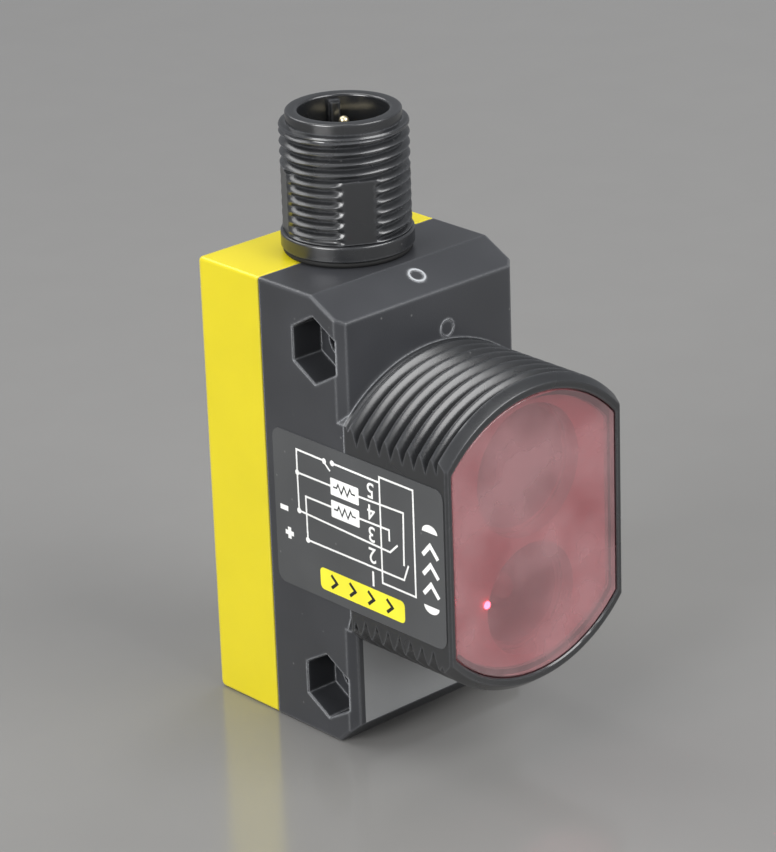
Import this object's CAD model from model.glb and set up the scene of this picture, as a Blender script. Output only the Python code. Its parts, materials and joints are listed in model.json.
import json
import math

import bmesh
import bpy
from mathutils import Matrix, Vector

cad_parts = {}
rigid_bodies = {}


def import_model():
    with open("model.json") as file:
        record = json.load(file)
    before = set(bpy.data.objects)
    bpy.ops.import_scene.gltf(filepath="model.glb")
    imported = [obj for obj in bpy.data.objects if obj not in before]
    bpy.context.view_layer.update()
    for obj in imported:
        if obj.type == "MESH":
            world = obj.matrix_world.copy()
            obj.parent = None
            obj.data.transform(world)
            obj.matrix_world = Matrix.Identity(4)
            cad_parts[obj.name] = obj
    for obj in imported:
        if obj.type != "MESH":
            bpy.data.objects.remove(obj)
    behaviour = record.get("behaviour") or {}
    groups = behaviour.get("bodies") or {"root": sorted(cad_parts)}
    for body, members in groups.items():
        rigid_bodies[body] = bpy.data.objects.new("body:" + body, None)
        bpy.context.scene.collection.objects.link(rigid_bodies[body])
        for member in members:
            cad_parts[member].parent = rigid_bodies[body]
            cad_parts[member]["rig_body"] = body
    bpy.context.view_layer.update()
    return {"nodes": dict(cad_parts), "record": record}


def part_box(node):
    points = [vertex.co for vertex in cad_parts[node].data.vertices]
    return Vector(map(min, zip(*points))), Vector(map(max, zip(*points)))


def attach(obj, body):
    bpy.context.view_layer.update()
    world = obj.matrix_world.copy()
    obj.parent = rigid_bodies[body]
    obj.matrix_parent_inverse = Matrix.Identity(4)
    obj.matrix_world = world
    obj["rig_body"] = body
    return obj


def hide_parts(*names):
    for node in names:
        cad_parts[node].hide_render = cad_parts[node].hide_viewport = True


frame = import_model()

# Block-type photoelectric sensor. Shapes are worked out in millimetres and scaled to metres once, at the
# end of each piece. The lens looks along -Y, the rear cover is at +Y and the connector points up +Z.
MM = 0.001


def node_box(name):
    """The corners of a CAD node's box, in millimetres."""
    low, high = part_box(name)
    return low / MM, high / MM


housing_low, housing_high = node_box("front_housing")
window_low, window_high = node_box("front_window")
shell_low, shell_high = node_box("connector_shell")
label_low, label_high = node_box("side_label")
PANEL_FACE = node_box("control_panel")[1].y

SIDE = housing_high.x
FRONT_Y = housing_low.y
BARREL_LENGTH = 13.4
BLOCK_Y = FRONT_Y + BARREL_LENGTH
TOP_SLOPE_DEPTH, TOP_SLOPE_DROP = 3.85, 1.95     # the sloping top edge of the block

BARREL_Z = (window_low.z + window_high.z) / 2    # M30 x 1.5, cut by two flats
BARREL_RADIUS, BARREL_RIM_RADIUS = 15.0, 14.4
BARREL_PITCH, BARREL_DEPTH = 1.5, 1.1
WINDOW_RADIUS, WINDOW_HALF = 13.5, 10.2
BORE_RADIUS, BORE_HALF = 12.9, 9.8

CONNECTOR_Y = (shell_low.y + shell_high.y) / 2   # M12 x 1
CONNECTOR_TOP = shell_high.z
CONNECTOR_RADIUS, CONNECTOR_RIM_RADIUS = 6.0, 5.37
CONNECTOR_PITCH, CONNECTOR_DEPTH = 1.0, 0.6
SOCKET_RADIUS, NECK_RADIUS, COLLAR_RADIUS = 4.2, 5.4, 6.2
COLLAR_Z, COLLAR_TOP, SOCKET_FLOOR = 44.6, 46.1, 48.3
LAND_DISTANCE, LAND_TOP, LAND_HALF_ANGLE = 5.8, 52.2, 14.8
KEY_TURN, PIN_TURN = 60.0, 48.0                  # degrees from +X towards +Y
PIN_RADIUS, PIN_CIRCLE = 0.5, 2.5


# ---- materials ----------------------------------------------------------------------------------------
def linear(colour):
    """sRGB hex to linear RGBA."""
    channels = [int(colour[i:i + 2], 16) / 255 for i in (1, 3, 5)]
    return (*(c / 12.92 if c <= 0.04045 else ((c + 0.055) / 1.055) ** 2.4 for c in channels), 1.0)


def add(tree, kind, inputs=None, out=0, **settings):
    """Adds a node, sets its properties, fills its inputs with values or links, and returns one output."""
    node = tree.nodes.new(kind)
    for name, value in settings.items():
        setattr(node, name, value)
    for key, value in (inputs or {}).items():
        if isinstance(value, bpy.types.NodeSocket):
            tree.links.new(value, node.inputs[key])
        else:
            node.inputs[key].default_value = value
    return node.outputs[out] if len(node.outputs) else node


def period(millimetres):
    """Noise scale for a pattern that repeats about once in this many millimetres."""
    return 1 / (millimetres * MM)


def new_material(name):
    """An empty node material and its tree."""
    material = bpy.data.materials.new(name)
    material.use_nodes = True
    material.node_tree.nodes.clear()
    return material, material.node_tree


def edge_mask(tree, radius_mm, sharpness):
    """1 on worn or light-catching edges and 0 on flat faces."""
    rounded = add(tree, "ShaderNodeBevel", {"Radius": radius_mm * MM}, samples=4)
    facing = add(tree, "ShaderNodeNewGeometry", out="True Normal")
    agree = add(tree, "ShaderNodeVectorMath", {0: rounded, 1: facing}, "Value",
                operation="DOT_PRODUCT")
    return add(tree, "ShaderNodeMapRange", {"Value": agree, "From Min": 1.0, "From Max": 1 - sharpness})


DUST = "#9a9a98"
HAZE = "#a3a4a4"


def moulded(name, colour, roughness, grain_mm, grain_height, worn=None, wear=0.0, specks=0.0, even=0.12,
            rubbed=None, **shader):
    """Injection-moulded plastic: fine eroded grain, slow unevenness, lighter edges and a little dust.
    Inside the box with the two corners in rubbed, in millimetres, the skin is hazed pale."""
    material, tree = new_material(name)
    place = add(tree, "ShaderNodeTexCoord", out="Object")
    grain = add(tree, "ShaderNodeTexNoise", {"Vector": place, "Scale": period(grain_mm), "Detail": 3.0})
    slow = add(tree, "ShaderNodeTexNoise", {"Vector": place, "Scale": period(9.0), "Detail": 2.0})
    base = add(tree, "ShaderNodeMapRange", {"Value": slow, "From Min": 0.3, "From Max": 0.7,
                                            "To Min": 1 - even, "To Max": 1 + even})
    tone = add(tree, "ShaderNodeVectorMath", {0: linear(colour)[:3], "Scale": base}, operation="SCALE")
    if worn:
        edges = edge_mask(tree, 0.35, 0.25)
        fade = add(tree, "ShaderNodeMath", {0: edges, 1: wear}, operation="MULTIPLY")
        fade = add(tree, "ShaderNodeMath", {0: fade, 1: grain}, operation="MULTIPLY")
        tone = add(tree, "ShaderNodeMix", {0: fade, 6: tone, 7: linear(worn)}, 2, data_type="RGBA")
    if specks:
        dots = add(tree, "ShaderNodeTexVoronoi", {"Vector": place, "Scale": period(2.2)}, out="Distance")
        keep = add(tree, "ShaderNodeMapRange", {"Value": dots, "From Min": 0.06, "From Max": 0.03,
                                                "To Max": specks})
        tone = add(tree, "ShaderNodeMix", {0: keep, 6: tone, 7: linear(DUST)}, 2, data_type="RGBA")
    if rubbed:
        pale = add(tree, "ShaderNodeMapRange", {"Value": slow, "To Min": 0.55, "To Max": 0.8})
        for axis, first, last in zip("XYZ", *rubbed):
            where = add(tree, "ShaderNodeSeparateXYZ", {"Vector": place}, axis)
            inside = add(tree, "ShaderNodeMath", {0: where, 1: (first + last) / 2 * MM,
                                                  2: (last - first) / 2 * MM}, operation="COMPARE")
            pale = add(tree, "ShaderNodeMath", {0: pale, 1: inside}, operation="MULTIPLY")
        tone = add(tree, "ShaderNodeMix", {0: pale, 6: tone, 7: linear(HAZE)}, 2, data_type="RGBA")
    gloss = add(tree, "ShaderNodeMapRange", {
        "Value": slow, "From Min": 0.3, "From Max": 0.7,
        "To Min": roughness - even * 0.4, "To Max": roughness + even * 0.5})
    bump = add(tree, "ShaderNodeBump", {"Height": grain, "Distance": grain_height * MM, "Strength": 1.0})
    settings = {"Base Color": tone, "Roughness": gloss, "Normal": bump, **shader}
    plastic = add(tree, "ShaderNodeBsdfPrincipled", settings)
    add(tree, "ShaderNodeOutputMaterial", {"Surface": plastic})
    return material


def clear_plastic(name, colour, roughness, tint, haze_mm, haze, smears=0.0, **shader):
    """Clear or tinted acrylic. Rays from lamps pass straight through, so that what is behind is lit. With
    smears, the skin scatters that share of the light in soft patches."""
    material, tree = new_material(name)
    place = add(tree, "ShaderNodeTexCoord", out="Object")
    cloud = add(tree, "ShaderNodeTexNoise", {"Vector": place, "Scale": period(haze_mm), "Detail": 4.0})
    dull = add(tree, "ShaderNodeMapRange", {"Value": cloud, "From Min": 0.35, "From Max": 0.7,
                                            "To Min": roughness, "To Max": roughness + haze})
    ripple = add(tree, "ShaderNodeTexNoise", {"Vector": place, "Scale": period(4.0), "Detail": 1.0})
    bump = add(tree, "ShaderNodeBump", {"Height": ripple, "Distance": 0.01 * MM})
    settings = {"Base Color": linear(colour), "Roughness": dull, "Normal": bump, "IOR": 1.49,
                "Transmission Weight": 1.0}
    settings.update(shader)
    if smears:
        patch = add(tree, "ShaderNodeTexNoise", {"Vector": place, "Scale": period(7.0), "Detail": 3.0})
        settings["Transmission Weight"] = add(tree, "ShaderNodeMapRange", {
            "Value": patch, "From Min": 0.35, "From Max": 0.65,
            "To Min": 1 - smears * 0.5, "To Max": 1 - smears})
    glass = add(tree, "ShaderNodeBsdfPrincipled", settings)
    open_way = add(tree, "ShaderNodeBsdfTransparent", {"Color": linear(tint)})
    lamps = add(tree, "ShaderNodeLightPath", out="Is Shadow Ray")
    either = add(tree, "ShaderNodeMixShader", {0: lamps, 1: glass, 2: open_way})
    add(tree, "ShaderNodeOutputMaterial", {"Surface": either})
    return material


def metal(name, colour, roughness, grain_mm, stretch):
    """Drawn or plated metal with fine lines along one direction."""
    material, tree = new_material(name)
    place = add(tree, "ShaderNodeTexCoord", out="Object")
    lines = add(tree, "ShaderNodeMapping", {"Vector": place, "Scale": stretch})
    grain = add(tree, "ShaderNodeTexNoise", {"Vector": lines, "Scale": period(grain_mm), "Detail": 3.0})
    gloss = add(tree, "ShaderNodeMapRange", {"Value": grain, "To Min": roughness - 0.06,
                                             "To Max": roughness + 0.1})
    tone = add(tree, "ShaderNodeMapRange", {"Value": grain, "To Min": 0.9, "To Max": 1.08})
    shine = add(tree, "ShaderNodeVectorMath", {0: linear(colour)[:3], "Scale": tone}, operation="SCALE")
    bump = add(tree, "ShaderNodeBump", {"Height": grain, "Distance": 0.004 * MM})
    plated = add(tree, "ShaderNodeBsdfPrincipled", {
        "Base Color": shine, "Roughness": gloss, "Metallic": 1.0, "Normal": bump})
    add(tree, "ShaderNodeOutputMaterial", {"Surface": plated})
    return material


def lamp(name, colour, strength, base):
    """A lit lamp chip or light guide: a glow over a skin that clouds from one colour to the other."""
    material, tree = new_material(name)
    place = add(tree, "ShaderNodeTexCoord", out="Object")
    cloud = add(tree, "ShaderNodeTexNoise", {"Vector": place, "Scale": period(0.8)})
    tone = add(tree, "ShaderNodeMix", {0: cloud, 6: linear(base), 7: linear(colour)}, 2, data_type="RGBA")
    lit = add(tree, "ShaderNodeBsdfPrincipled", {
        "Base Color": tone, "Roughness": 0.25, "Emission Color": linear(colour),
        "Emission Strength": strength})
    add(tree, "ShaderNodeOutputMaterial", {"Surface": lit})
    return material


def circuit_board(name):
    """FR4 epoxy-glass board under green solder mask: faint weave, glossy lacquer."""
    material, tree = new_material(name)
    place = add(tree, "ShaderNodeTexCoord", out="Object")
    weave = add(tree, "ShaderNodeTexWave", {"Vector": place, "Scale": period(0.8), "Distortion": 0.6},
                bands_direction="DIAGONAL")
    tone = add(tree, "ShaderNodeMix", {0: weave, 6: linear("#0c3a22"), 7: linear("#12502e")}, 2,
               data_type="RGBA")
    bump = add(tree, "ShaderNodeBump", {"Height": weave, "Distance": 0.01 * MM})
    lacquer = add(tree, "ShaderNodeBsdfPrincipled", {
        "Base Color": tone, "Roughness": 0.3, "Normal": bump, "Coat Weight": 0.4})
    add(tree, "ShaderNodeOutputMaterial", {"Surface": lacquer})
    return material


# Glass-filled PBT polyester, moulded black against a spark-eroded steel face: satin, with paler worn
# edges. The real grain is about 0.05 mm and is drawn at 0.16 mm so that it shows.
black_pbt = moulded("black_pbt", "#37383b", 0.36, 0.16, 0.012, worn="#b4b6b9", wear=1.6, specks=0.3,
                    rubbed=((-9.6, BLOCK_Y - 0.3, 2.2), (SIDE + 1, BLOCK_Y + 0.1, 12.5)))
# The same plastic on the barrel and connector, from a polished thread slide: a little glossier.
thread_pbt = moulded("thread_pbt", "#1e1f21", 0.27, 0.2, 0.005, worn="#a4a6aa", wear=0.35, specks=0.15,
                     **{"Specular IOR Level": 1.0})
# PBT/ABS blend in signal yellow, moulded glossy: clean broad reflections and some light under the skin.
yellow_abs = moulded("yellow_abs", "#dccb20", 0.3, 0.35, 0.004, worn="#fbf6a8", wear=0.3, even=0.03,
                     **{"Subsurface Weight": 0.08, "Subsurface Radius": (0.001, 0.0008, 0.0002),
                        "Subsurface Scale": 0.5})
# The same plastic rubbed pale on the crown of a raised mark.
worn_plastic = moulded("worn_plastic", "#a8abae", 0.45, 0.16, 0.01)
# PBT connector insert, moulded black: dull.
insert_pbt = moulded("insert_pbt", "#141414", 0.5, 0.15, 0.01)
# Lens holder and emitter hood, moulded in pale red polycarbonate: pink behind the window.
holder_pc = moulded("holder_pc", "#a8686e", 0.35, 0.3, 0.01)
# Nitrile rubber seals: dark and almost matt.
nitrile = moulded("nitrile", "#101010", 0.7, 0.12, 0.02)
# Closed-cell silicone foam of the flat gaskets: matt grey with fine pores.
foam_gasket = moulded("foam_gasket", "#3a3b3d", 0.85, 0.1, 0.05)
# Push-button caps in ABS, dark grey and finely textured.
button_abs = moulded("button_abs", "#3c3f42", 0.42, 0.14, 0.012, worn="#8d9093", wear=0.5)
# Glass-filled nylon of switches, chips and other moulded board parts: matt black.
nylon = moulded("nylon", "#161616", 0.6, 0.1, 0.01)
# Polyester film overlays with a fine velvet texture, printed grey or black on the back.
panel_film = moulded("panel_film", "#b9bcbe", 0.45, 0.13, 0.008)
label_film = moulded("label_film", "#4b4c4d", 0.33, 0.13, 0.006, specks=0.25)
# Screen-printed inks: even, thin and slightly chalky.
white_ink = moulded("white_ink", "#f1f1ee", 0.5, 0.2, 0.003)
yellow_ink = moulded("yellow_ink", "#f4ea3a", 0.45, 0.2, 0.003)
black_ink = moulded("black_ink", "#17181a", 0.5, 0.2, 0.003)
# PMMA acrylic: the window is pale red with smears on its skin, the lenses are clear.
red_acrylic = clear_plastic("red_acrylic", "#bf9a9d", 0.04, "#dca2a8", 3.0, 0.1, smears=0.4)
clear_acrylic = clear_plastic("clear_acrylic", "#cdcaca", 0.03, "#f4f4f4", 3.0, 0.03)
# Gold-flashed brass pins, a tin-plated shield and chip legs, nickelled steel screws.
gold_brass = metal("gold_brass", "#efe2bd", 0.3, 0.15, (1, 1, 0.2))
tin_plate = metal("tin_plate", "#c9cacb", 0.28, 0.12, (1, 1, 1))
nickel_steel = metal("nickel_steel", "#b9b7b1", 0.3, 0.1, (1, 1, 1))
# Lamps: the emitter's dome, its light at the lens rim, and the guides of the power light (lit) and the
# output light (dim). The chips under the guides are unlit.
emitter_lamp = lamp("emitter_lamp", "#c04050", 0.05, "#8a4048")
emitter_glow = lamp("emitter_glow", "#ff5a74", 26.0, "#ff8a90")
green_lamp = lamp("green_lamp", "#3df06a", 0.9, "#63d483")
amber_lamp = lamp("amber_lamp", "#e8a030", 0.1, "#c89040")
lamp_chip = moulded("lamp_chip", "#e6e2d2", 0.4, 0.1, 0.005)
# Frosted acrylic of the light bar's segments, which are unlit.
frosted_acrylic = moulded("frosted_acrylic", "#cdd3ca", 0.3, 0.2, 0.004)
green_board = circuit_board("green_board")
flex_polyimide = moulded("flex_polyimide", "#a8641c", 0.3, 0.3, 0.006)
# Table top of pale grey laminate with a soft sheen.
floor_laminate = moulded("floor_laminate", "#7f7e7c", 0.15, 0.6, 0.0, even=0.01,
                         **{"Specular IOR Level": 0.8})

SLOT_FINISH = {
    "housing_plastic": black_pbt, "cover_plastic": yellow_abs, "window_plastic": red_acrylic,
    "lens_plastic": clear_acrylic, "inner_plastic": holder_pc, "connector_plastic": insert_pbt,
    "seal_rubber": nitrile, "seal_foam": foam_gasket, "board": green_board, "flex": flex_polyimide,
    "chip_plastic": nylon, "tinned_metal": tin_plate, "screw_steel": nickel_steel,
    "contact_brass": gold_brass, "lamp_red": emitter_lamp, "lamp_chip": lamp_chip,
    "light_plastic": clear_acrylic, "button_plastic": button_abs, "switch_plastic": nylon,
    "panel_film": panel_film, "label_film": label_film,
}


# ---- meshes -------------------------------------------------------------------------------------------
def body_of(node):
    """The moving or fixed body a CAD node belongs to."""
    return frame["nodes"][node]["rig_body"]


def slot_of(node):
    """The material slot the record gives a CAD node."""
    return next(part["material_slot"] for part in frame["record"]["subparts"] if part["node"] == node)


def shade(bm, angle):
    """Smooth faces, with sharp edges where two faces meet at more than this angle."""
    limit = math.radians(angle)
    for face in bm.faces:
        face.smooth = True
    for edge in bm.edges:
        edge.smooth = len(edge.link_faces) == 2 and edge.calc_face_angle(0) < limit


def make_object(name, bm, material):
    """A scene object from a mesh in millimetres."""
    bmesh.ops.scale(bm, vec=(MM, MM, MM), verts=bm.verts)
    mesh = bpy.data.meshes.new(name)
    bm.to_mesh(mesh)
    bm.free()
    mesh.materials.append(material)
    made = bpy.data.objects.new(name, mesh)
    bpy.context.scene.collection.objects.link(made)
    return made


def piece(name, bm, material, body, nodes=(), angle=32):
    """Turns a mesh in millimetres into a finished piece that rides on a body."""
    shade(bm, angle)
    made = make_object(name, bm, material)
    even = made.modifiers.new("even_normals", "WEIGHTED_NORMAL")
    even.keep_sharp = True
    flat = bpy.data.meshes.new_from_object(made.evaluated_get(bpy.context.evaluated_depsgraph_get()))
    made.modifiers.clear()
    made.data = flat
    flat.name = name
    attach(made, body)
    if nodes:
        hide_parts(*nodes)
    return made


def cad_copy(node):
    """A merged copy of a CAD node's mesh, in millimetres."""
    bm = bmesh.new()
    bm.from_mesh(frame["nodes"][node].data)
    bmesh.ops.scale(bm, vec=(1 / MM,) * 3, verts=bm.verts)
    bmesh.ops.remove_doubles(bm, verts=bm.verts, dist=0.0004)
    return bm


def cut_plane(bm, point, outward):
    """Removes what lies beyond a plane and closes the cut with flat faces."""
    geometry = bm.verts[:] + bm.edges[:] + bm.faces[:]
    cut = bmesh.ops.bisect_plane(bm, geom=geometry, dist=1e-5, plane_co=point, plane_no=outward,
                                 clear_outer=True)
    rim = [e for e in cut["geom_cut"] if isinstance(e, bmesh.types.BMEdge) and e.is_boundary]
    bmesh.ops.triangle_fill(bm, use_beauty=True, use_dissolve=False, edges=rim, normal=outward)


def lathe(profile, segments=128):
    """Surface turned about Z from (radius, height) points; radius 0 makes a pole."""
    bm = bmesh.new()
    rings = []
    for radius, height in profile:
        if radius == 0:
            rings.append([bm.verts.new((0, 0, height))])
            continue
        ring = []
        for k in range(segments):
            turn = math.tau * k / segments
            ring.append(bm.verts.new((radius * math.cos(turn), radius * math.sin(turn), height)))
        rings.append(ring)
    for low, high in zip(rings, rings[1:]):
        for k in range(segments):
            n = k + 1
            corners = [low[k % len(low)], low[n % len(low)], high[n % len(high)], high[k % len(high)]]
            corners = list(dict.fromkeys(corners))
            if len(corners) > 2:
                bm.faces.new(corners)
    return bm


def arc(centre, radius, start, end, steps=6):
    """Points of a round corner in a lathe profile, angles in degrees from +radius towards +height."""
    points = []
    for k in range(steps + 1):
        turn = math.radians(start + (end - start) * k / steps)
        points.append((centre[0] + radius * math.cos(turn), centre[1] + radius * math.sin(turn)))
    return points


def joined(*parts):
    """One mesh from several."""
    whole = bmesh.new()
    for part in parts:
        mesh = bpy.data.meshes.new("part")
        part.to_mesh(mesh)
        part.free()
        whole.from_mesh(mesh)
        bpy.data.meshes.remove(mesh)
    return whole


def outward(bm):
    """Turns all faces of a closed mesh to face out."""
    bmesh.ops.recalc_face_normals(bm, faces=bm.faces)
    return bm


def moved(bm, matrix):
    """Transforms a mesh in place."""
    bmesh.ops.transform(bm, matrix=matrix, verts=bm.verts)
    return bm


def looking_forward(x, y, z):
    """Turns +Z to -Y, +X stays, and moves the origin to a point."""
    return Matrix.Translation((x, y, z)) @ Matrix.Rotation(math.radians(90), 4, "X")


def looking_back(x, y, z):
    """Turns +Z to +Y, +X stays, and moves the origin to a point."""
    return Matrix.Translation((x, y, z)) @ Matrix.Rotation(math.radians(-90), 4, "X")


def flattened_ring(bm, y, radius, half_width, corner_steps=48):
    """Outline of a disc cut by two vertical flats, as a loop of vertices."""
    limit = math.acos(half_width / radius)
    ring = []
    for start in (limit, math.pi + limit):
        for k in range(corner_steps + 1):
            turn = start + (math.pi - 2 * limit) * k / corner_steps
            ring.append(bm.verts.new((radius * math.cos(turn), y, BARREL_Z + radius * math.sin(turn))))
    return ring


def flattened_loft(sections):
    """Closed body through flattened-disc sections (y, radius, half width)."""
    bm = bmesh.new()
    rings = [flattened_ring(bm, *section) for section in sections]
    for low, high in zip(rings, rings[1:]):
        for k in range(len(low)):
            n = (k + 1) % len(low)
            bm.faces.new((low[k], low[n], high[n], high[k]))
    bm.faces.new(rings[0])
    bm.faces.new(rings[-1])
    return outward(bm)


def boolean_cut(bm, cutter, name):
    """Cuts one closed mesh from another."""
    base = make_object(name, bm, black_pbt)
    tool = make_object(name + "_tool", cutter, black_pbt)
    cut = base.modifiers.new("cut", "BOOLEAN")
    cut.object = tool
    cut.operation = "DIFFERENCE"
    cut.solver = "EXACT"
    result = bpy.data.meshes.new_from_object(base.evaluated_get(bpy.context.evaluated_depsgraph_get()))
    out = bmesh.new()
    out.from_mesh(result)
    bmesh.ops.scale(out, vec=(1 / MM,) * 3, verts=out.verts)
    for made in (base, tool):
        bpy.data.objects.remove(made)
    return out


# ---- geometry node trees ------------------------------------------------------------------------------
def interface(tree, inputs):
    """Declares a tree's named inputs and its geometry output, and returns a lookup of input sockets."""
    for name, kind, default in inputs:
        socket = tree.interface.new_socket(name, in_out="INPUT", socket_type=kind)
        if default is not None:
            socket.default_value = default
    tree.interface.new_socket("Geometry", in_out="OUTPUT", socket_type="NodeSocketGeometry")
    entry = tree.nodes.new("NodeGroupInput")
    return {name: entry.outputs[name] for name, _, _ in inputs}


def close_tree(tree, geometry, material):
    """The last nodes of every tree: realised, with its material, to the output."""
    real = add(tree, "GeometryNodeRealizeInstances", {"Geometry": geometry})
    painted = add(tree, "GeometryNodeSetMaterial", {"Geometry": real, "Material": material})
    leave = tree.nodes.new("NodeGroupOutput")
    tree.links.new(painted, leave.inputs["Geometry"])


def thread_tree():
    """A screw thread about +Z whose groove fades out at both ends, with four plain lands at its foot."""
    tree = bpy.data.node_groups.new("thread", "GeometryNodeTree")
    size = interface(tree, [
        ("Radius", "NodeSocketFloat", 6.0), ("Depth", "NodeSocketFloat", 0.6),
        ("Pitch", "NodeSocketFloat", 1.0), ("Length", "NodeSocketFloat", 10.0),
        ("Turns", "NodeSocketInt", 11), ("Rows per Turn", "NodeSocketInt", 14),
        ("Segments", "NodeSocketInt", 256), ("Root Width", "NodeSocketFloat", 0.7),
        ("Crest Power", "NodeSocketFloat", 1.4), ("Fade", "NodeSocketFloat", 0.5),
        ("Land Distance", "NodeSocketFloat", 100.0), ("Land Height", "NodeSocketFloat", -1.0),
        ("Land Turn", "NodeSocketFloat", 0.0), ("Land Half Angle", "NodeSocketFloat", 0.0),
        ("Material", "NodeSocketMaterial", None),
    ])

    place = add(tree, "GeometryNodeInputPosition")
    known = {"round": add(tree, "ShaderNodeSeparateXYZ", {0: place}, 0),
             "up": add(tree, "ShaderNodeSeparateXYZ", {0: place}, 1)}
    # Each step has a name, an operation, and numbers, inputs or earlier steps. "share" runs from 0 in the
    # middle of the groove to 1 at its edges; "beside" is 0 on a land and 1 away from it.
    for name, operation, *values in [
            ("columns", "ADD", "Segments", 1.0),
            ("row steps", "MULTIPLY", "Turns", "Rows per Turn"),
            ("rows", "ADD", "row steps", 1.0),
            ("round share", "ADD", "round", 0.5),
            ("up share", "ADD", "up", 0.5),
            ("turn", "MULTIPLY", "up share", "Turns"),
            ("lifted", "ADD", "turn", "round share"),
            ("lowered", "SUBTRACT", "lifted", 1.0),
            ("along", "MULTIPLY", "lowered", "Pitch"),
            ("over foot", "MAXIMUM", "along", 0.0),
            ("height", "MINIMUM", "over foot", "Length"),
            ("part turn", "FRACT", "turn"),
            ("off middle", "SUBTRACT", "part turn", 0.5),
            ("phase", "ABSOLUTE", "off middle"),
            ("distance", "MULTIPLY", "phase", "Pitch"),
            ("half root", "MULTIPLY", "Root Width", 0.5),
            ("wide share", "DIVIDE", "distance", "half root"),
            ("share", "MINIMUM", "wide share", 1.0),
            ("inward", "SUBTRACT", 1.0, "share"),
            ("groove", "POWER", "inward", "Crest Power"),
            ("to top", "SUBTRACT", "Length", "height"),
            ("to end", "MINIMUM", "height", "to top"),
            ("fade", "SMOOTH", "to end", 0.0, "Fade"),
            ("angle", "MULTIPLY", "round share", math.tau),
            ("from land", "SUBTRACT", "angle", "Land Turn"),
            ("ahead", "ADD", "from land", math.pi / 4),
            ("in quarter", "FLOORED_MODULO", "ahead", math.pi / 2),
            ("off land", "SUBTRACT", "in quarter", math.pi / 4),
            ("off land size", "ABSOLUTE", "off land"),
            ("land edge", "MULTIPLY", "Land Half Angle", 0.7),
            ("land end", "MULTIPLY", "Land Half Angle", 1.8),
            ("beside", "SMOOTH", "off land size", "land edge", "land end"),
            ("above land", "GREATER_THAN", "height", "Land Height"),
            ("clear", "MAXIMUM", "beside", "above land"),
            ("open share", "MULTIPLY", "fade", "clear"),
            ("full cut", "MULTIPLY", "groove", "Depth"),
            ("cut", "MULTIPLY", "full cut", "open share"),
            ("grooved", "SUBTRACT", "Radius", "cut"),
            ("land cosine", "COSINE", "off land"),
            ("land radius", "DIVIDE", "Land Distance", "land cosine"),
            ("no land", "MULTIPLY", "above land", 100.0),
            ("land limit", "ADD", "land radius", "no land"),
            ("radius", "MINIMUM", "grooved", "land limit"),
            ("cosine", "COSINE", "angle"),
            ("sine", "SINE", "angle"),
            ("x", "MULTIPLY", "radius", "cosine"),
            ("y", "MULTIPLY", "radius", "sine")]:
        values = [known.get(v) or size[v] if isinstance(v, str) else v for v in values]
        if operation == "SMOOTH":
            ends = dict(zip(("Value", "From Min", "From Max"), values))
            known[name] = add(tree, "ShaderNodeMapRange", ends, interpolation_type="SMOOTHSTEP")
        else:
            known[name] = add(tree, "ShaderNodeMath", dict(enumerate(values)), operation=operation)
    grid = add(tree, "GeometryNodeMeshGrid", {
        "Size X": 1.0, "Size Y": 1.0, "Vertices X": known["columns"], "Vertices Y": known["rows"]})
    target = add(tree, "ShaderNodeCombineXYZ", {0: known["x"], 1: known["y"], 2: known["height"]})
    shaped = add(tree, "GeometryNodeSetPosition", {"Geometry": grid, "Position": target})
    merged = add(tree, "GeometryNodeMergeByDistance", {"Geometry": shaped, "Distance": 0.0005})
    close_tree(tree, merged, size["Material"])
    return tree


def repeat_tree():
    """One small part at every point of the mesh."""
    tree = bpy.data.node_groups.new("repeat", "GeometryNodeTree")
    size = interface(tree, [
        ("Geometry", "NodeSocketGeometry", None), ("Part", "NodeSocketObject", None),
        ("Material", "NodeSocketMaterial", None),
    ])
    part = add(tree, "GeometryNodeObjectInfo", {"Object": size["Part"]}, out="Geometry")
    copies = add(tree, "GeometryNodeInstanceOnPoints", {"Points": size["Geometry"], "Instance": part})
    close_tree(tree, copies, size["Material"])
    return tree


def grown(name, tree, values, start=None):
    """The mesh that a node tree makes, in the units of its inputs."""
    base = start or bpy.data.meshes.new(name)
    holder = bpy.data.objects.new(name + "_grown", base)
    bpy.context.scene.collection.objects.link(holder)
    growth = holder.modifiers.new("grow", "NODES")
    growth.node_group = tree
    for item in tree.interface.items_tree:
        if item.in_out == "INPUT" and item.name in values:
            growth[item.identifier] = values[item.name]
    bpy.context.view_layer.update()
    result = bpy.data.meshes.new_from_object(holder.evaluated_get(bpy.context.evaluated_depsgraph_get()))
    bpy.data.objects.remove(holder)
    bm = bmesh.new()
    bm.from_mesh(result)
    return bm


def repeated(name, part_bm, points, material):
    """Copies of one part at a list of points, all in millimetres."""
    mesh = bpy.data.meshes.new(name + "_points")
    mesh.from_pydata([tuple(p) for p in points], [], [])
    part_mesh = bpy.data.meshes.new(name + "_part")
    part_bm.to_mesh(part_mesh)
    part_bm.free()
    part = bpy.data.objects.new(name + "_part", part_mesh)
    bpy.context.scene.collection.objects.link(part)
    bm = grown(name, REPEAT, {"Part": part, "Material": material}, mesh)
    bpy.data.objects.remove(part)
    return bm


THREAD = thread_tree()
REPEAT = repeat_tree()


# ---- housing ------------------------------------------------------------------------------------------
STUB = 0.1    # the block keeps this much of the barrel's root


def housing_block():
    bm = cad_copy("front_housing")
    cut_plane(bm, (0, BLOCK_Y - STUB, 0), (0, -1, 0))
    return piece("housing_block", bm, black_pbt, body_of("front_housing"), ["front_housing"])


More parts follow.
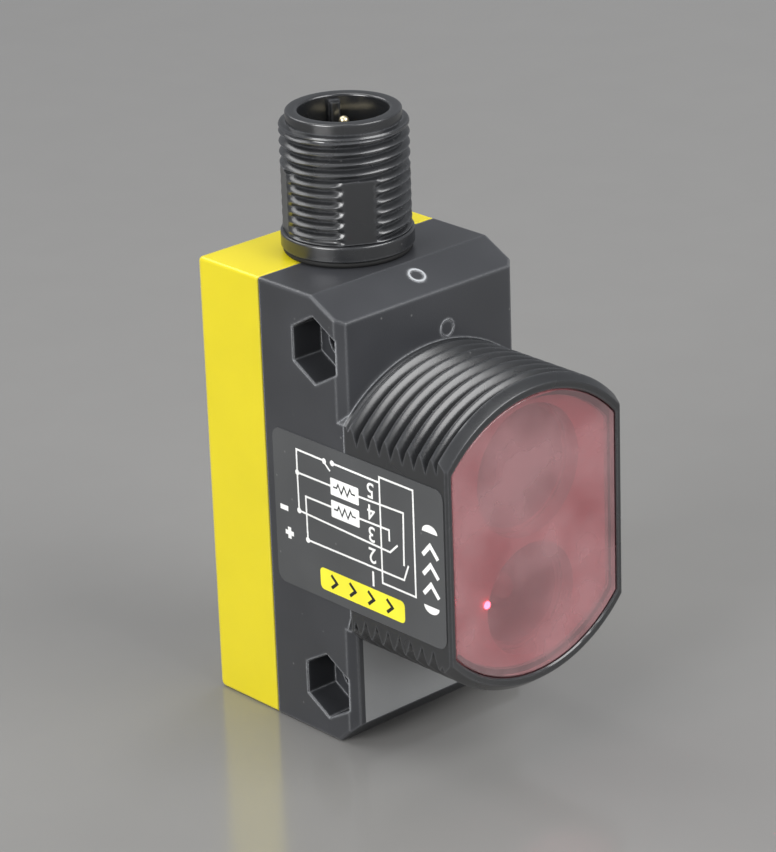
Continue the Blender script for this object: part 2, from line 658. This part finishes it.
def housing_barrel():
    """M30 x 1.5 barrel with two flats: thread, bevelled rim, seat for the window and bore."""
    radius, pitch = BARREL_RADIUS, BARREL_PITCH
    length = BARREL_LENGTH - STUB
    root, rim = 0.3, length - 0.95
    segments = 288
    thread = grown("barrel", THREAD, {
        "Radius": radius, "Depth": BARREL_DEPTH, "Pitch": pitch, "Length": rim - root,
        "Turns": math.ceil((rim - root) / pitch) + 1, "Rows per Turn": 16, "Segments": segments,
        "Root Width": 1.4, "Crest Power": 1.25, "Fade": 0.35, "Material": thread_pbt})
    moved(thread, Matrix.Translation((0, 0, root)))
    foot = lathe([(0, 0), (radius + 0.02, 0), (radius, 0.1), (radius, root)], segments)
    nose = [(radius, rim), (radius - 0.05, rim + 0.1)]
    nose += arc((BARREL_RIM_RADIUS - 0.15, length - 0.15), 0.15, 35, 90)
    head = lathe(nose + [(0, length)], segments)
    bm = joined(thread, foot, head)
    bmesh.ops.remove_doubles(bm, verts=bm.verts, dist=0.002)
    outward(bm)
    moved(bm, looking_forward(0, BLOCK_Y - STUB, BARREL_Z))
    ledge = window_high.y + 0.2
    steps = [(FRONT_Y - 1, 0.22), (FRONT_Y, 0.22), (FRONT_Y + 0.12, 0.1), (ledge, 0.1)]
    seat = [(y, WINDOW_RADIUS + gap, WINDOW_HALF + gap) for y, gap in steps]
    bore = [(y, BORE_RADIUS, BORE_HALF) for y in (ledge, BLOCK_Y + 1)]
    bm = boolean_cut(bm, flattened_loft(seat + bore), "barrel")
    for side in (-1, 1):
        cut_plane(bm, (side * SIDE, 0, 0), (side, 0, 0))
        cut_plane(bm, (side * SIDE, FRONT_Y + 0.22, 0), (side, -1, 0))
    return piece("housing_barrel", bm, thread_pbt, body_of("front_housing"), ["front_housing"],
                 angle=40)


def sensor_window():
    """Flat window, a disc with two flats, with a rounded front edge."""
    y0, y1 = window_low.y, window_high.y
    edge = [(y1, 0.05), (y1 - 0.05, 0), (y0 + 0.2, 0), (y0 + 0.08, 0.04), (y0 + 0.02, 0.12), (y0, 0.24)]
    sections = [(y, WINDOW_RADIUS - inset, WINDOW_HALF - inset) for y, inset in edge]
    piece("sensor_window", flattened_loft(sections), red_acrylic, body_of("front_window"),
          ["front_window"])


def lens_disc(node):
    """Plano-convex lens with a small land round its edge."""
    crown, edge = 1.3, 1.0
    low, high = node_box(node)
    radius = (high.x - low.x) / 2
    land = radius - 0.35
    sphere = (land ** 2 + crown ** 2) / (2 * crown)
    profile = [(0, 0), (radius - 0.05, 0), (radius, 0.05), (radius, edge - 0.05), (radius - 0.05, edge),
               (land, edge)]
    for k in range(1, 17):
        r = land * (1 - k / 16)
        profile.append((r, edge + math.sqrt(sphere ** 2 - r ** 2) - (sphere - crown)))
    bm = outward(lathe(profile, 96))
    moved(bm, looking_forward(0, high.y, (low.z + high.z) / 2))
    piece(node + "_optic", bm, clear_acrylic, body_of(node), [node])


# ---- connector ----------------------------------------------------------------------------------------
def connector_body():
    """M12 x 1 plug: rim, thread with four plain lands, collar, neck and keyed bore."""
    radius, rim, bore, collar = CONNECTOR_RADIUS, CONNECTOR_RIM_RADIUS, SOCKET_RADIUS, COLLAR_RADIUS
    segments = 288
    rim_foot = CONNECTOR_TOP - 1.15
    thread_foot = COLLAR_TOP + 0.1
    thread_length = rim_foot - COLLAR_TOP - 0.25
    thread = grown("connector", THREAD, {
        "Radius": radius, "Depth": CONNECTOR_DEPTH, "Pitch": CONNECTOR_PITCH, "Length": thread_length,
        "Turns": math.ceil(thread_length / CONNECTOR_PITCH) + 1, "Rows per Turn": 12, "Segments": segments,
        "Root Width": 0.95, "Crest Power": 1.15, "Fade": 0.3, "Land Distance": LAND_DISTANCE,
        "Land Height": LAND_TOP - thread_foot, "Land Turn": math.radians(KEY_TURN),
        "Land Half Angle": math.radians(LAND_HALF_ANGLE), "Material": thread_pbt})
    moved(thread, Matrix.Translation((0, 0, thread_foot)))
    below = [(bore, SOCKET_FLOOR), (bore, shell_low.z + 0.1), (NECK_RADIUS, shell_low.z),
             (NECK_RADIUS, COLLAR_Z)]
    below += [(collar - 0.12, COLLAR_Z), (collar, COLLAR_Z + 0.12), (collar, COLLAR_TOP - 0.2)]
    below += arc((collar - 0.2, COLLAR_TOP - 0.2), 0.2, 0, 90, 4)
    below += [(NECK_RADIUS - 0.1, COLLAR_TOP), (NECK_RADIUS - 0.1, COLLAR_TOP + 0.02)]
    above = [(radius, rim_foot - 0.15), (radius - 0.08, rim_foot), (rim, rim_foot + 0.12)]
    above += [(rim, CONNECTOR_TOP - 0.2)] + arc((rim - 0.2, CONNECTOR_TOP - 0.2), 0.2, 0, 90, 5)
    above += arc((bore + 0.25, CONNECTOR_TOP - 0.25), 0.25, 90, 180, 5) + [(bore, SOCKET_FLOOR)]
    key_top = CONNECTOR_TOP - 0.6
    key = bmesh.new()
    bmesh.ops.create_cube(key, size=1.0, matrix=Matrix.Diagonal((0.9, 0.9, key_top - SOCKET_FLOOR, 1)))
    bevel_edges(key, 0.15, lambda e: abs(e.verts[0].co.z - e.verts[1].co.z) > 1, 3)
    moved(key, Matrix.Rotation(math.radians(KEY_TURN), 4, "Z")
          @ Matrix.Translation((bore - 0.3, 0, (key_top + SOCKET_FLOOR) / 2)))
    bm = joined(thread, lathe(below, segments), lathe(above, segments), key)
    moved(bm, Matrix.Translation((0, CONNECTOR_Y, 0)))
    piece("connector_body", bm, thread_pbt, body_of("connector_shell"), ["connector_shell"],
          angle=38)


def contact_pins():
    """Five round pins with domed tips: one in the middle and four round it."""
    low, high = node_box("contact_pins")
    length = high.z - low.z
    profile = [(0, 0), (PIN_RADIUS, 0), (PIN_RADIUS, length - PIN_RADIUS)]
    profile += arc((0, length - PIN_RADIUS), PIN_RADIUS, 0, 84, 7) + [(0, length)]
    points = [(0, CONNECTOR_Y, low.z)]
    for k in range(4):
        turn = math.radians(PIN_TURN + 90 * k)
        points.append((PIN_CIRCLE * math.cos(turn), CONNECTOR_Y + PIN_CIRCLE * math.sin(turn), low.z))
    bm = outward(repeated("pins", lathe(profile, 32), points, gold_brass))
    piece("plug_pins", bm, gold_brass, body_of("contact_pins"), ["contact_pins"],
          angle=50)


def emitter_glint():
    """A speck of the emitter's light, caught between the rim of its lens and the holder."""
    low, high = node_box("emitter_lens")
    bm = outward(lathe([(0, 0), (0.34, 0), (0.38, 0.05), (0.33, 0.14), (0.18, 0.18), (0, 0.2)], 24))
    moved(bm, looking_forward(low.x - 0.15, low.y - 0.03, (low.z + high.z) / 2 + 1.2))
    piece("emitter_glint", bm, emitter_glow, body_of("emitter_led"))


def ring_mark():
    """Whitened crown of the raised ring on the sloping top edge."""
    slope = math.atan2(TOP_SLOPE_DROP, TOP_SLOPE_DEPTH)
    ring_x, y_in = 0.55, 2.2
    drop = TOP_SLOPE_DROP * (1 - y_in / TOP_SLOPE_DEPTH)
    place = Vector((ring_x, BLOCK_Y + y_in, housing_high.z - drop))
    normal = Vector((0, -math.sin(slope), math.cos(slope)))
    turn = Matrix.Translation(place + normal * 0.075) @ Matrix.Rotation(slope, 4, "X")
    bm = lathe([(0.66, 0), (0.7, 0.035), (0.77, 0.05), (0.84, 0.035), (0.88, 0), (0.66, 0)], 64)
    bmesh.ops.remove_doubles(bm, verts=bm.verts, dist=1e-5)
    piece("ring_mark", moved(outward(bm), turn), worn_plastic, body_of("front_housing"), angle=60)


# ---- printed films ------------------------------------------------------------------------------------
ON_LABEL = Matrix(((0, 0, -1, 0), (-1, 0, 0, 0), (0, 1, 0, 0), (0, 0, 0, 1)))
ON_PANEL = Matrix(((-1, 0, 0, 0), (0, 0, 1, 0), (0, 1, 0, 0), (0, 0, 0, 1)))


class Print:
    """Ink shapes on a film, drawn in millimetres as seen by someone who faces it. Each shape lies a hair
    higher than the last, so that crossing lines never share a plane."""

    def __init__(self, level, step=0.0002):
        self.bm = bmesh.new()
        self.level = level
        self.step = step
        self.thickness = 0.012

    def shape(self, outline):
        """A flat shape from its outline, anticlockwise."""
        self.level += self.step
        low = [self.bm.verts.new((x, y, self.level - self.thickness)) for x, y in outline]
        high = [self.bm.verts.new((x, y, self.level)) for x, y in outline]
        for k in range(len(low)):
            n = (k + 1) % len(low)
            self.bm.faces.new((low[k], low[n], high[n], high[k]))
        self.bm.faces.new(low[::-1])
        self.bm.faces.new(high)

    def line(self, points, width):
        """A line of even width through points, with mitred corners."""
        sides = ([], [])
        path = [Vector(p) for p in points]
        for k, here in enumerate(path):
            before = (here - path[k - 1]).normalized() if k else None
            after = (path[k + 1] - here).normalized() if k + 1 < len(path) else None
            before, after = before or after, after or before
            mean = (before + after).normalized()
            across = Vector((-mean.y, mean.x))
            reach = width / 2 / max(0.35, across.dot(Vector((-before.y, before.x))))
            if k == 0:
                here = here - before * width / 2
            if k + 1 == len(path):
                here = here + after * width / 2
            sides[0].append(here + across * reach)
            sides[1].append(here - across * reach)
        self.shape([tuple(p) for p in sides[1] + sides[0][::-1]])

    def disc(self, x, y, radius, steps=28):
        turns = [math.tau * k / steps for k in range(steps)]
        self.shape([(x + radius * math.cos(t), y + radius * math.sin(t)) for t in turns])

    def bar(self, x, y, width, height, corner=0.15):
        """A round-cornered rectangle about its middle."""
        outline = []
        for k, (sx, sy) in enumerate(((1, 1), (-1, 1), (-1, -1), (1, -1))):
            for px, py in arc((x + sx * (width / 2 - corner), y + sy * (height / 2 - corner)), corner,
                              90 * k, 90 * k + 90, 5):
                outline.append((px, py))
        self.shape(outline)

    def ring(self, x, y, radius, width, steps=48):
        """A flat ring whose width lies inside its radius."""
        self.level += self.step
        for k in range(steps):
            corners = []
            for turn, r in ((k, radius), (k + 1, radius), (k + 1, radius - width), (k, radius - width)):
                a = math.tau * turn / steps
                corners.append((x + r * math.cos(a), y + r * math.sin(a), self.level))
            self.bm.faces.new([self.bm.verts.new(c) for c in corners][::-1])
        bmesh.ops.remove_doubles(self.bm, verts=self.bm.verts, dist=1e-5)

    def digits(self, text, x, y, height, degrees=0.0):
        """Plain numbers in the default font, centred on a point."""
        curve = bpy.data.curves.new("digits", "FONT")
        curve.body = text
        curve.align_x, curve.align_y = "CENTER", "CENTER"
        curve.size = height / 0.7
        curve.offset = 0.02
        curve.extrude = self.thickness / 2
        holder = bpy.data.objects.new("digits", curve)
        bpy.context.scene.collection.objects.link(holder)
        bpy.context.view_layer.update()
        mesh = bpy.data.meshes.new_from_object(
            holder.evaluated_get(bpy.context.evaluated_depsgraph_get()))
        bpy.data.objects.remove(holder)
        self.level += self.step
        place = Matrix.Translation((x, y, self.level - self.thickness / 2))
        mesh.transform(place @ Matrix.Rotation(math.radians(degrees), 4, "Z"))
        self.bm.from_mesh(mesh)

    def finish(self, name, matrix, material, body, angle=30):
        """Lays the shapes on the part as one piece."""
        bmesh.ops.remove_doubles(self.bm, verts=self.bm.verts, dist=1e-5)
        piece(name, moved(self.bm, matrix), material, body, angle=angle)


def label_point(y_in, z):
    """A point on the label's drawing, from its distance behind the block's front face and its height."""
    return (-(BLOCK_Y + y_in), z)


def label_print():
    """Wiring diagram with numbered pins, a plain yellow bar and a beam pictogram."""
    face = -label_low.x - 0.012
    ink = Print(face)
    body = body_of("side_label")
    thin = 0.2
    diagram = [
        [(6.5, 28.4), (2.9, 28.35)], [(1.5, 28.4), (-4.7, 28.35)],
        [(6.5, 28.4), (6.5, 26.1), (6.45, 22.3), (-5.85, 21.9), (-6.8, 22.8)],
        [(6.5, 26.1), (1.9, 26.1)], [(-1.85, 26.15), (-7.75, 26.3), (-7.65, 21.2)],
        [(1.9, 24.0), (5.45, 24.0), (5.4, 19.65), (-7.6, 19.7), (-8.2, 21.2)],
        [(-1.85, 24.0), (-5.8, 24.05), (-5.8, 23.05)],
        [(-4.7, 23.5), (-4.7, 28.9), (-9.1, 28.9), (-9.1, 23.5)],
        [(-9.1, 23.5), (-9.1, 18.5), (-4.7, 18.5), (-4.7, 23.5)],
        [(2.9, 28.35), (2.0, 27.6)],
    ]
    for run in diagram:
        ink.line([label_point(*p) for p in run], thin)
    for y_in, z in ((2.7, 28.3), (1.6, 28.4), (6.5, 26.1), (6.45, 22.3), (5.4, 19.65)):
        ink.disc(*label_point(y_in, z), 0.28)
    for z in (26.1, 23.9):
        ink.bar(*label_point(0.05, z), 3.8, 1.7, 0.12)
    for number, z in zip("54321", (27.3, 25.15, 23.0, 20.9, 18.6)):
        ink.digits(number, *label_point(-3.45, z), 1.5, 180)
    ink.line([label_point(8.85, 22.0), label_point(8.25, 22.0)], 0.5)
    ink.line([label_point(8.3, 19.6), label_point(7.6, 19.6)], 0.45)
    ink.line([label_point(7.95, 19.95), label_point(7.95, 19.25)], 0.45)
    # Beam pictogram: two lenses with three arrowheads between them.
    middle = -11.15
    for end, side in ((25.4, -1), (18.2, 1)):
        lens = [label_point(middle - 1.0, end), label_point(middle + 1.0, end)]
        bow = [label_point(middle + 1.0 * math.cos(t), end - side * 0.75 * math.sin(t))
               for t in (k * math.pi / 10 for k in range(1, 10))]
        ink.shape((lens + bow)[::-side])
    for z in (19.9, 21.8, 23.7):
        ink.line([label_point(middle - 0.85, z - 0.5), label_point(middle, z + 0.45),
                  label_point(middle + 0.85, z - 0.5)], 0.42)
    ink.finish("label_diagram", ON_LABEL, white_ink, body)
    mark = Print(face)
    mark.bar(*label_point(-1.85, 16.4), 11.4, 2.2, 0.5)
    mark.finish("label_yellow_bar", ON_LABEL, yellow_ink, body)
    dark = Print(face + 0.004)
    for z in (26.1, 23.9):
        zigzag = [(-1.3, z), (-0.9, z), (-0.7, z + 0.4), (-0.3, z - 0.4), (0.1, z + 0.4), (0.5, z - 0.4),
                  (0.9, z + 0.4), (1.1, z), (1.5, z)]
        dark.line([label_point(*p) for p in zigzag], 0.15)
    for y_in in (-5.6, -3.1, -0.6, 1.9):
        dark.line([label_point(y_in + 0.32, 16.95), label_point(y_in - 0.32, 16.4),
                   label_point(y_in + 0.32, 15.85)], 0.32)
    dark.finish("label_dark_marks", ON_LABEL, black_ink, body)


def label_base():
    """Polyester label with round corners and a fine clear border."""
    width = label_high.y - label_low.y
    height = label_high.z - label_low.z
    film = Print(-label_low.x - 0.015)
    film.thickness = -label_low.x - 0.015 - SIDE
    film.bar(-(label_low.y + label_high.y) / 2, (label_low.z + label_high.z) / 2, width, height, 1.0)
    bevel_edges(film.bm, 0.03, lambda e: all(v.co.z > SIDE + 0.05 for v in e.verts))
    piece("label_base", moved(film.bm, ON_LABEL), label_film, body_of("side_label"), ["side_label"])


def bevel_edges(bm, width, test, segments=2):
    """Rounds the edges that pass a test."""
    edges = [e for e in bm.edges if test(e)]
    bmesh.ops.bevel(bm, geom=edges, offset=width, offset_type="OFFSET", segments=segments, profile=0.5,
                    affect="EDGES", clamp_overlap=True)


def panel_print():
    """Numbers under the light bar, marks round the lights and a frame round the two buttons."""
    face = PANEL_FACE + 0.01
    ink = Print(face)
    body = body_of("control_panel")
    low, high = node_box("light_bar_guide")
    bar_z = (low.z + high.z) / 2
    segment_step = 1.7
    for k in range(8):
        ink.digits(str(k + 1), (k - 3.5) * segment_step, bar_z - 2.75, 1.05)
    ink.line([(-6.6, bar_z + 2.2), (6.6, bar_z + 2.2)], 0.16)
    for node in ("light_guide_power", "light_guide_output"):
        low, high = node_box(node)
        ink.ring(-(low.x + high.x) / 2, (low.z + high.z) / 2, 1.75, 0.16)
    power = node_box("light_guide_power")
    output = node_box("light_guide_output")
    ink.digits("1", -(output[0].x + output[1].x) / 2 + 2.6, (power[0].z + power[1].z) / 2, 1.3)
    ink.digits("0", -(power[0].x + power[1].x) / 2 - 2.6, (power[0].z + power[1].z) / 2, 1.3)
    for node in ("button_plus", "button_minus"):
        low, high = node_box(node)
        ink.ring(0, (low.z + high.z) / 2, 4.65, 0.22, 72)
    ink.finish("panel_marks", ON_PANEL, black_ink, body)
    for node in ("button_plus", "button_minus"):
        low, high = node_box(node)
        z = (low.z + high.z) / 2
        sign = Print(high.y - 0.14)
        sign.thickness = 0.07
        sign.line([(-1.1, z), (1.1, z)], 0.42)
        if node == "button_plus":
            sign.line([(0, z + 0.9), (0, z - 0.9)], 0.42)
        sign.finish(node + "_sign", ON_PANEL, white_ink, body_of(node))


def button_cap(node):
    """Dished push-button cap with a raised rounded rim, on its stem, flange and post."""
    low, high = node_box(node)
    radius, top, foot = 3.6, high.y, high.y - 4.4
    stem, flange = 1.2, 4.2
    profile = [(0, low.y), (stem - 0.05, low.y), (stem, low.y + 0.05), (stem, foot - 0.05),
               (flange - 0.05, foot - 0.05), (flange, foot), (flange, foot + 0.6),
               (flange - 0.05, foot + 0.65), (radius, foot + 0.65), (radius, top - 0.35)]
    profile += arc((radius - 0.3, top - 0.3), 0.3, 0, 90, 6)
    profile += [(3.0, top - 0.01), (2.7, top - 0.05), (2.2, top - 0.12), (1.4, top - 0.17),
                (0.7, top - 0.195), (0, top - 0.2)]
    bm = outward(lathe(profile, 96))
    moved(bm, looking_back(0, 0, (low.z + high.z) / 2))
    piece(node + "_cap", bm, button_abs, body_of(node), [node])


# ---- everything that keeps its CAD shape --------------------------------------------------------------
def polished(node, material=None):
    """The CAD shape with smooth rounds and crisp edges, in its slot's material or its own."""
    slot = slot_of(node)
    piece(node + "_finished", cad_copy(node), material or SLOT_FINISH[slot], body_of(node), [node])


housing_block()
housing_barrel()
sensor_window()
lens_disc("receiver_lens")
lens_disc("emitter_lens")
connector_body()
contact_pins()
button_cap("button_plus")
button_cap("button_minus")
label_base()
label_print()
panel_print()
emitter_glint()
ring_mark()
DONE = {"front_housing", "front_window", "receiver_lens", "emitter_lens", "connector_shell",
        "contact_pins", "side_label", "button_plus", "button_minus"}
OWN_FINISH = {"light_guide_power": green_lamp, "light_guide_output": amber_lamp,
              "light_bar_guide": frosted_acrylic, "connector_insert": insert_pbt}
for name in sorted(frame["nodes"]):
    if name not in DONE:
        polished(name, material=OWN_FINISH.get(name))

# ---- stage --------------------------------------------------------------------------------------------
floor_mesh = bpy.data.meshes.new("studio_floor")
reach = 4.0
corners = [(-reach, -reach, 0), (reach, -reach, 0), (reach, reach, 0), (-reach, reach, 0)]
floor_mesh.from_pydata(corners, [], [(0, 1, 2, 3)])
floor = bpy.data.objects.new("studio_floor", floor_mesh)
bpy.context.scene.collection.objects.link(floor)
floor.location.z = -0.00002
floor_mesh.materials.append(floor_laminate)

world = bpy.data.worlds.new("studio")
world.use_nodes = True
world.node_tree.nodes["Background"].inputs["Color"].default_value = linear("#d8dbe0")
world.node_tree.nodes["Background"].inputs["Strength"].default_value = 0.42
bpy.context.scene.world = world
bpy.context.scene.view_settings.view_transform = "Standard"


def area_light(name, place, aim, size, power, glossy=True):
    """A soft box. A fill light doesn't show in glossy reflections."""
    light = bpy.data.lights.new(name, "AREA")
    light.shape = "RECTANGLE"
    light.size, light.size_y = size
    light.energy = power
    box = bpy.data.objects.new(name, light)
    box.location = place
    box.rotation_euler = (Vector(aim) - Vector(place)).to_track_quat("-Z", "Y").to_euler()
    box.visible_camera = False
    box.visible_glossy = glossy
    bpy.context.scene.collection.objects.link(box)


area_light("overhead", (-0.05, 0.14, 0.62), (0, 0, 0.03), (0.45, 0.4), 1.2)
area_light("back_top", (-0.16, 0.44, 0.44), (0, 0, 0.03), (0.5, 0.25), 1.2)
area_light("front_top", (0.15, -0.45, 0.44), (0, 0, 0.03), (0.45, 0.4), 3.0)
area_light("left_fill", (-0.55, -0.05, 0.26), (0, 0, 0.02), (0.35, 0.3), 3.2)
area_light("front_fill", (0.1, -0.62, 0.12), (0, 0, 0.03), (0.4, 0.2), 1.6, glossy=False)
area_light("right_fill", (0.55, 0.15, 0.25), (0, 0, 0.02), (0.35, 0.3), 1.5, glossy=False)

camera_data = bpy.data.cameras.new("camera")
camera_data.lens = 157.02
camera_data.sensor_width = 36.0
camera_data.clip_start = 0.01
camera = bpy.data.objects.new("camera", camera_data)
right = Vector((0.73503, -0.67725, -0.03258))
down = Vector((-0.28026, -0.25972, -0.92412))
forward = Vector((0.61741, 0.68839, -0.38070))
turn = Matrix((right, -down, -forward)).transposed().to_4x4()
camera.matrix_world = Matrix.Translation(Vector((-213.76, -235.68, 159.21)) * MM) @ turn
bpy.context.scene.collection.objects.link(camera)
bpy.context.scene.camera = camera
